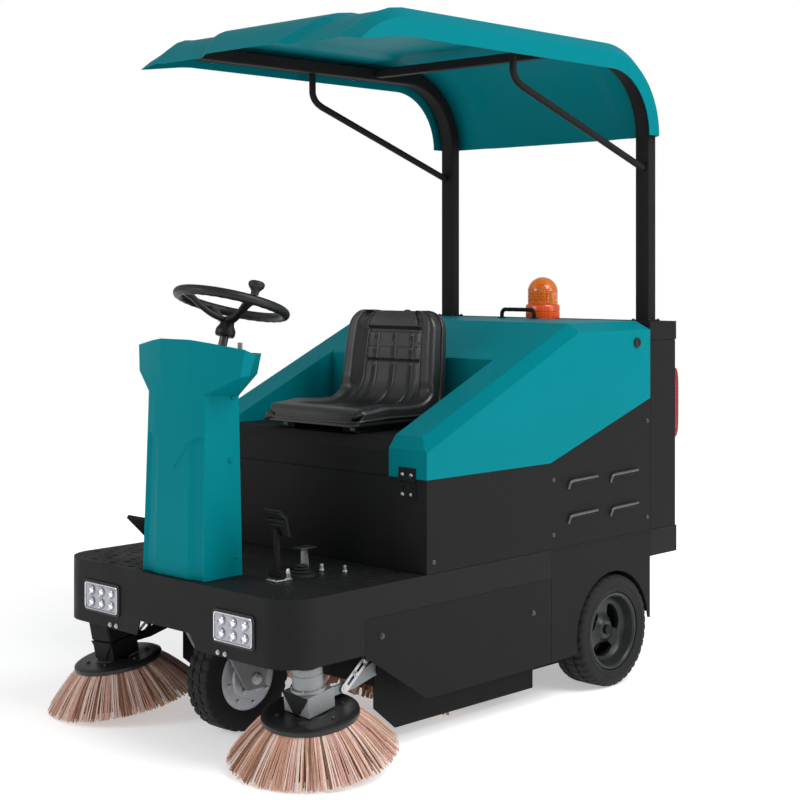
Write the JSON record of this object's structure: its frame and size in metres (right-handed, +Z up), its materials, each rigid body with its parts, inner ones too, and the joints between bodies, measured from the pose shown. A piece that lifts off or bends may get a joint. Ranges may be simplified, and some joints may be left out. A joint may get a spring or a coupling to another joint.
{
  "type": "ride on sweeper",
  "caption": "Battery ride-on floor sweeper with canopy: seated driver, trailing steered front wheel, main brush roller, lifting side brushes and a hood that tips forward.",
  "frame": {"origin": "bottom centre of the bounding box, on the floor", "axes": "+Z up; the machine faces -Y; +X is the driver's left"},
  "size_m": [1.2334, 1.7472, 1.9575],
  "materials": {
    "black_powder_coat": "satin powder coat",
    "teal_paint": "gloss paint",
    "black_plastic": "fine grain",
    "grey_casing": "matt",
    "red_lens": "gloss",
    "amber_lens": "gloss, translucent",
    "lamp": "clear over silver reflector",
    "seat_vinyl": "smooth vinyl",
    "rubber": "matt",
    "zinc_steel": "zinc plated",
    "cast_alloy": "cast",
    "bristle": "tan, orange and pink strips of bristle"
  },
  "bodies": {
    "chassis": {"chassis_deck": "black_powder_coat", "skirt_panel_left": "black_powder_coat", "skirt_panel_right": "black_powder_coat", "arch_panel_left": "black_powder_coat", "arch_panel_right": "black_powder_coat", "side_panel_left": "black_powder_coat", "side_panel_right": "black_powder_coat", "front_panel": "black_powder_coat", "rear_box": "black_powder_coat", "rear_box_lid": "black_powder_coat", "tail_light_left": "red_lens", "tail_light_right": "red_lens", "hinge_lower_left": "black_powder_coat", "hinge_lower_right": "black_powder_coat", "beacon_base": "amber_lens", "beacon_lens": "amber_lens", "canopy_frame_left": "black_powder_coat", "canopy_frame_right": "black_powder_coat", "canopy_cross_tube": "black_powder_coat", "canopy_brace_left": "black_powder_coat", "canopy_brace_right": "black_powder_coat", "canopy_roof": "teal_paint", "column_cover": "teal_paint", "dash_panel": "black_plastic", "steering_gearbox": "cast_alloy", "brush_housing": "black_powder_coat", "headlight_left": "lamp", "headlight_right": "lamp", "battery_pack": "grey_casing"},
    "hood": {"hood_cover": "teal_paint", "seat_shelf": "black_powder_coat", "seat_cushion": "seat_vinyl", "hinge_upper_left": "black_powder_coat", "hinge_upper_right": "black_powder_coat", "hood_handle": "black_powder_coat"},
    "hood_lock": {"hood_lock": "black_powder_coat"},
    "steering_wheel": {"steering_wheel": "black_plastic", "steering_shaft": "zinc_steel"},
    "steering_knob": {"steering_knob": "black_plastic"},
    "ignition_key": {"ignition_key": "zinc_steel"},
    "fork": {"front_fork": "cast_alloy"},
    "front_wheel": {"front_hub_motor": "zinc_steel", "front_tyre": "rubber"},
    "rear_wheel_left": {"rear_rim_left": "black_powder_coat", "rear_tyre_left": "rubber"},
    "rear_wheel_right": {"rear_rim_right": "black_powder_coat", "rear_tyre_right": "rubber"},
    "main_brush": {"main_brush": "bristle"},
    "brush_arm_left": {"side_brush_arm_left": "cast_alloy", "side_brush_motor_left": "cast_alloy"},
    "brush_arm_right": {"side_brush_arm_right": "cast_alloy", "side_brush_motor_right": "black_powder_coat"},
    "side_brush_left": {"side_brush_plate_left": "bristle", "side_brush_bristles_left": "bristle"},
    "side_brush_right": {"side_brush_plate_right": "bristle", "side_brush_bristles_right": "bristle"},
    "accelerator": {"accelerator_pedal": "black_powder_coat"},
    "brake": {"brake_pedal": "black_powder_coat"},
    "hopper": {"dust_hopper": "black_powder_coat"}
  },
  "joints": [
    {"name": "hood_hinge", "type": "hinge", "parent": "chassis", "child": "hood", "pos_m": [0, -0.32988, 0.695], "axis": [1, 0, 0], "range_deg": [0, 45]},
    {"name": "hood_lock_turn", "type": "hinge", "parent": "hood", "child": "hood_lock", "pos_m": [0.4844, 0.62362, 1.033], "axis": [1, 0, 0], "range_deg": [0, 90]},
    {"name": "fork_yaw", "type": "hinge", "parent": "chassis", "child": "fork", "pos_m": [0, -0.68638, 0.449], "axis": [0, 0, 1], "range_deg": [-35, 35]},
    {"name": "steering_wheel_turn", "type": "hinge", "parent": "chassis", "child": "steering_wheel", "pos_m": [0, -0.59038, 1.163], "axis": [0, 0.2756, 0.9613], "range_deg": [-116, 116]},
    {"name": "steering_knob_spin", "type": "hinge", "parent": "steering_wheel", "child": "steering_knob", "pos_m": [0.14123, -0.63047, 1.18968], "axis": [0, 0.2756, 0.9613], "continuous": true},
    {"name": "ignition_key_turn", "type": "hinge", "parent": "chassis", "child": "ignition_key", "pos_m": [0.06, -0.61038, 1.032], "axis": [0, 0, 1], "range_deg": [-90, 0]},
    {"name": "front_wheel_spin", "type": "hinge", "parent": "fork", "child": "front_wheel", "pos_m": [0, -0.56638, 0.15], "axis": [1, 0, 0], "continuous": true},
    {"name": "rear_wheel_left_spin", "type": "hinge", "parent": "chassis", "child": "rear_wheel_left", "pos_m": [0.427, 0.50362, 0.168], "axis": [1, 0, 0], "continuous": true},
    {"name": "rear_wheel_right_spin", "type": "hinge", "parent": "chassis", "child": "rear_wheel_right", "pos_m": [-0.427, 0.50362, 0.168], "axis": [1, 0, 0], "continuous": true},
    {"name": "main_brush_spin", "type": "hinge", "parent": "chassis", "child": "main_brush", "pos_m": [0, -0.09638, 0.142], "axis": [1, 0, 0], "continuous": true},
    {"name": "side_brush_left_lift", "type": "hinge", "parent": "chassis", "child": "brush_arm_left", "pos_m": [0.4225, -0.44438, 0.225], "axis": [-1, 0, 0], "range_deg": [0, 12]},
    {"name": "side_brush_left_spin", "type": "hinge", "parent": "brush_arm_left", "child": "side_brush_left", "pos_m": [0.4035, -0.67288, 0.142], "axis": [0.065, -0.161, 0.9848], "continuous": true},
    {"name": "side_brush_right_lift", "type": "hinge", "parent": "chassis", "child": "brush_arm_right", "pos_m": [-0.4225, -0.44438, 0.225], "axis": [-1, 0, 0], "range_deg": [0, 12]},
    {"name": "side_brush_right_spin", "type": "hinge", "parent": "brush_arm_right", "child": "side_brush_right", "pos_m": [-0.4035, -0.67288, 0.142], "axis": [-0.065, -0.161, 0.9848], "continuous": true},
    {"name": "accelerator_press", "type": "hinge", "parent": "chassis", "child": "accelerator", "pos_m": [-0.25, -0.61138, 0.462], "axis": [1, 0, 0], "range_deg": [0, 15], "stiffness_Nm_per_rad": 6, "springref_deg": -17.19},
    {"name": "brake_press", "type": "hinge", "parent": "chassis", "child": "brake", "pos_m": [0.248, -0.64138, 0.465], "axis": [1, 0, 0], "range_deg": [0, 15], "stiffness_Nm_per_rad": 8, "springref_deg": -11.46},
    {"name": "hopper_slide", "type": "slide", "parent": "chassis", "child": "hopper", "axis": [0, 1, 0], "range_m": [0, 0.5]}
  ],
  "couplings": [
    {"joint": "steering_wheel_turn", "follows": "fork_yaw", "ratio": 3.3}
  ]
}
